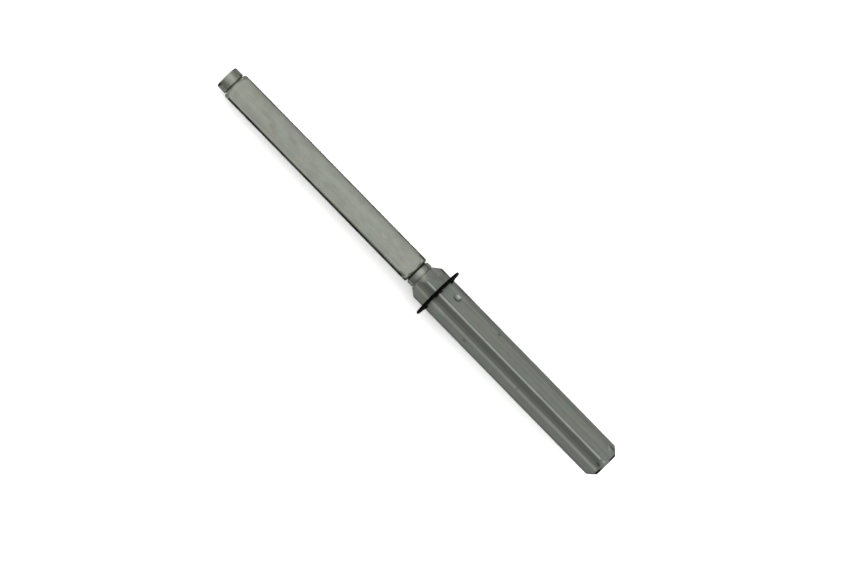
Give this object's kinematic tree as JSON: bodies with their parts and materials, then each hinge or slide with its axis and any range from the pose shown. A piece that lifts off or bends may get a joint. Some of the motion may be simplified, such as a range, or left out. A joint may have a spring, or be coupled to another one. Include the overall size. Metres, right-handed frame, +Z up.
{
  "type": "swivelling door handle spindle",
  "caption": "Two square bars in line, staked so that one turns on the other, with a round pilot at one end and a black push-on stop washer near the joint.",
  "frame": {"origin": "on the spindle's axis at the inner face of the swivel half, where the spindle is split; it is also the middle of the overall length", "axes": "+X along the axis from the pilot towards the plain end of the stop half, +Z up out of a level flat of the swivel half"},
  "size_m": [0.1646, 0.0176, 0.0176],
  "materials": {
    "plated_steel": "satin",
    "black_spring_steel": "matte"
  },
  "bodies": {
    "swivel_side": {"swivel_half": "plated_steel"},
    "stop_side": {"stop_half": "plated_steel", "stop_washer": "black_spring_steel"}
  },
  "joints": [
    {"name": "swivel", "type": "hinge", "parent": "swivel_side", "child": "stop_side", "pos_m": [0, 0, 0], "axis": [1, 0, 0], "continuous": true}
  ]
}
